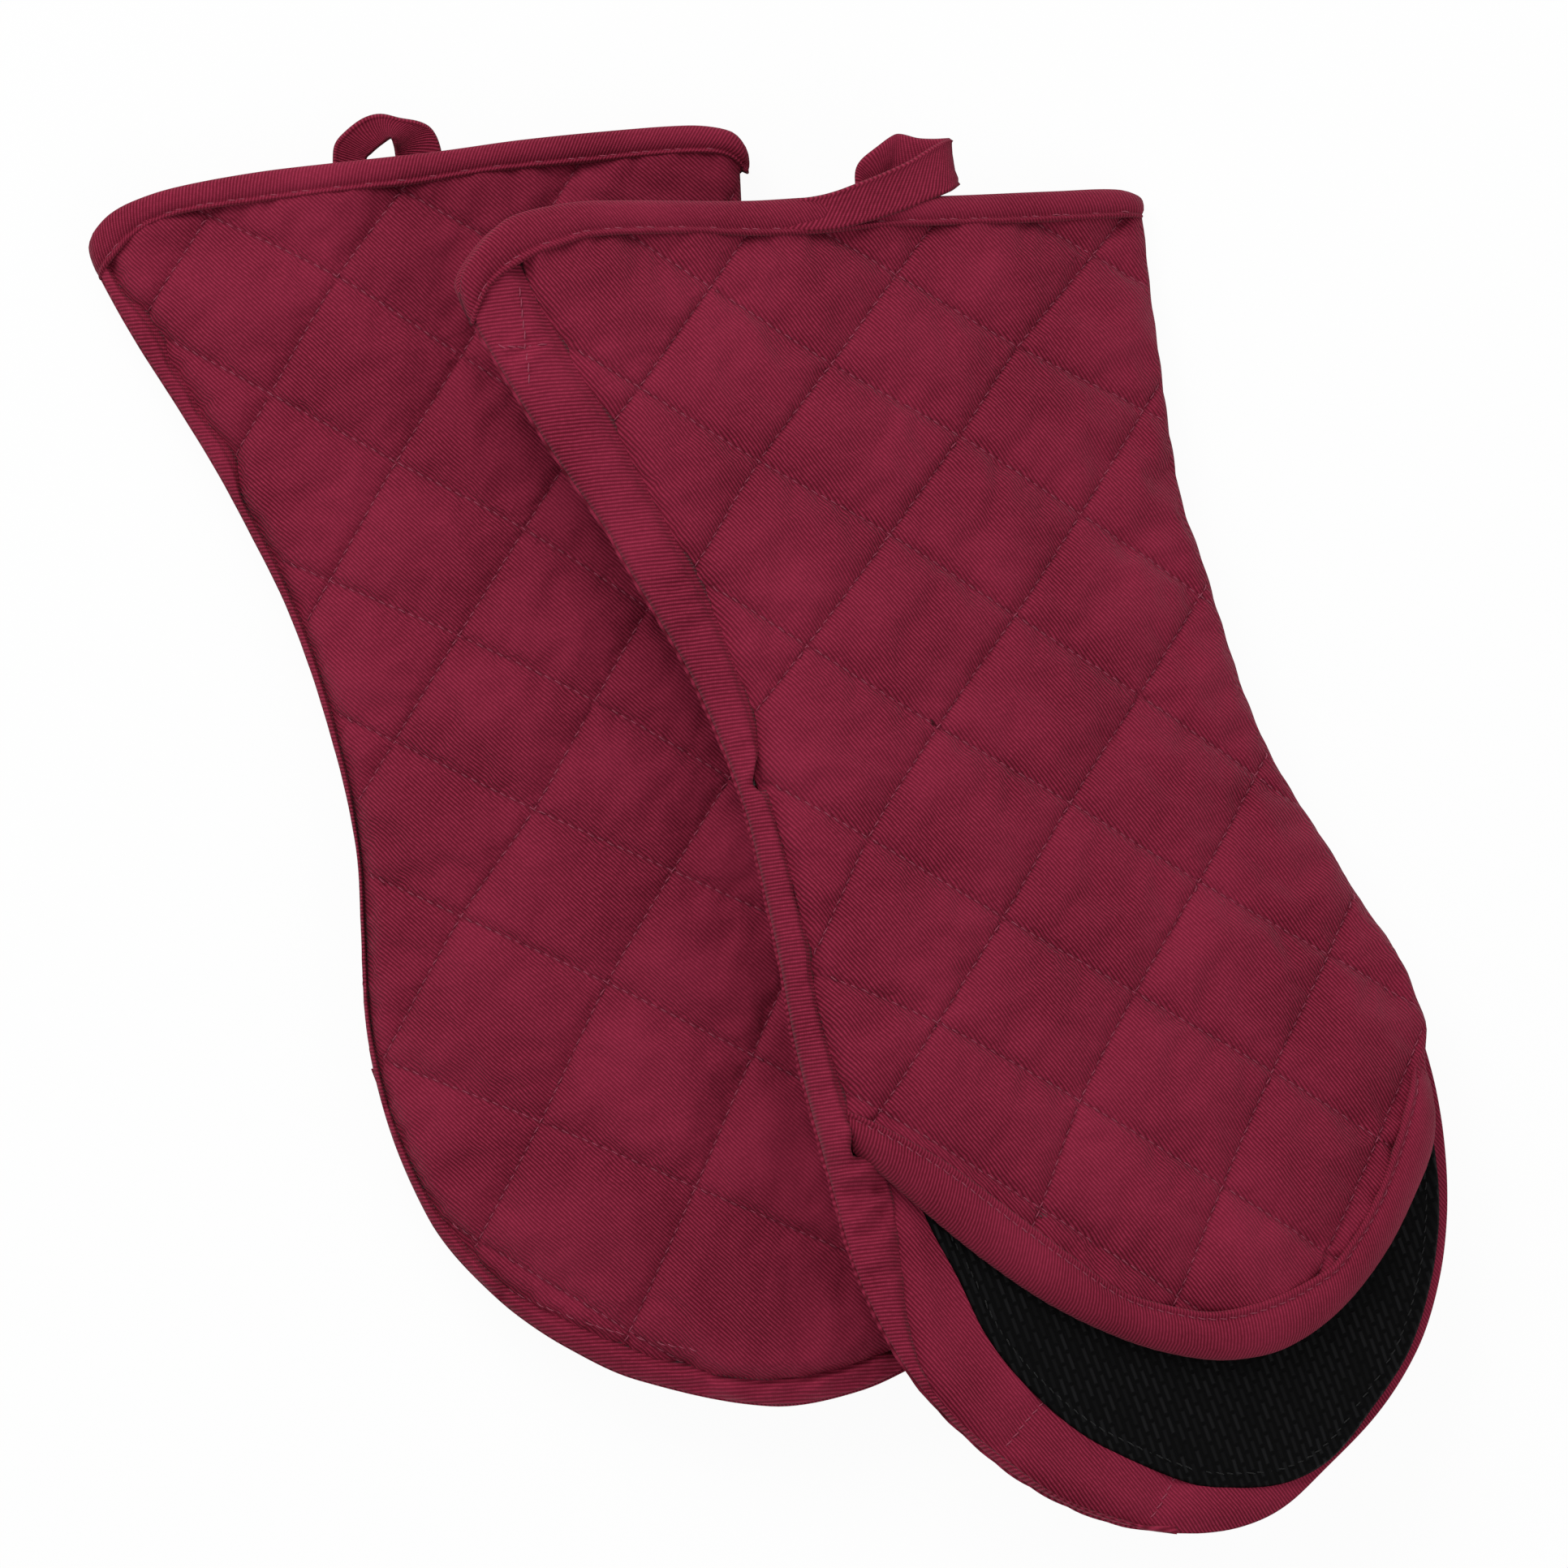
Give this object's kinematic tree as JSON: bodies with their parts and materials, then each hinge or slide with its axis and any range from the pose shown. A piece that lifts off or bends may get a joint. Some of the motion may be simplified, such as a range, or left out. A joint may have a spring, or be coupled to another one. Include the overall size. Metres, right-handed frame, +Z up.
{
  "type": "pair of oven mitts",
  "caption": "Long quilted oven mitts with a hinged thumb flap, bound edges, black grip pads and a hanging loop, laid one across the other",
  "frame": {"origin": "middle of the pair's box in plan, on the surface that the lower mitt lies on", "axes": "+Z up; -Y from the cuffs to the fingertips; +X to the right of the pair seen from above, with the upper mitt on the +X side"},
  "size_m": [0.386, 0.4014, 0.0741],
  "materials": {
    "twill": "matte cotton twill",
    "binding": "matte cotton twill tape",
    "batting": "soft white fleece",
    "lining": "plain terry cloth",
    "grip": "black basket-weave rubberised cloth"
  },
  "bodies": {
    "lower_mitt": {"left_back_panel": "twill", "left_back_batting": "batting", "left_back_lining": "lining", "left_front_panel": "twill", "left_front_batting": "batting", "left_front_lining": "lining", "left_flap_fold": "twill", "left_finger_palm": "twill", "left_finger_palm_batting": "batting", "left_finger_palm_lining": "lining", "left_finger_grip_pad": "grip", "left_cuff_binding": "binding"},
    "left_flap": {"left_thumb_panel": "twill", "left_thumb_batting": "batting", "left_thumb_lining": "lining", "left_thumb_grip_pad": "grip", "left_thumb_palm_batting": "batting", "left_thumb_palm_lining": "lining", "left_flap_binding": "binding"},
    "left_loop": {"left_hanging_loop": "binding"},
    "upper_mitt": {"right_back_panel": "twill", "right_back_batting": "batting", "right_back_lining": "lining", "right_front_panel": "twill", "right_front_batting": "batting", "right_front_lining": "lining", "right_flap_fold": "twill", "right_finger_palm": "twill", "right_finger_palm_batting": "batting", "right_finger_palm_lining": "lining", "right_finger_grip_pad": "grip", "right_cuff_binding": "binding"},
    "right_flap": {"right_thumb_panel": "twill", "right_thumb_batting": "batting", "right_thumb_lining": "lining", "right_thumb_grip_pad": "grip", "right_thumb_palm_batting": "batting", "right_thumb_palm_lining": "lining", "right_flap_binding": "binding"},
    "right_loop": {"right_hanging_loop": "binding"}
  },
  "joints": [
    {"name": "upper_mitt_lift", "type": "slide", "parent": "lower_mitt", "child": "upper_mitt", "axis": [0, 0, 1], "range_m": [0, 0.15]},
    {"name": "left_flap_hinge", "type": "hinge", "parent": "lower_mitt", "child": "left_flap", "pos_m": [-0.02637, -0.03944, 0.01553], "axis": [0.9511, 0.309, 0], "range_deg": [0, 75], "deforming": ["left_flap_fold"]},
    {"name": "right_flap_hinge", "type": "hinge", "parent": "upper_mitt", "child": "right_flap", "pos_m": [0.09554, -0.0606, 0.03942], "axis": [-0.8986, -0.3271, 0.2924], "range_deg": [0, 75], "deforming": ["right_flap_fold"]},
    {"name": "left_loop_fold", "type": "hinge", "parent": "lower_mitt", "child": "left_loop", "pos_m": [-0.10346, 0.18487, 0.01479], "axis": [0.9511, 0.309, 0], "range_deg": [0, 20]},
    {"name": "right_loop_fold", "type": "hinge", "parent": "upper_mitt", "child": "right_loop", "pos_m": [0.0468, 0.16413, 0.02473], "axis": [0.8986, 0.3271, -0.2924], "range_deg": [0, 20]}
  ]
}
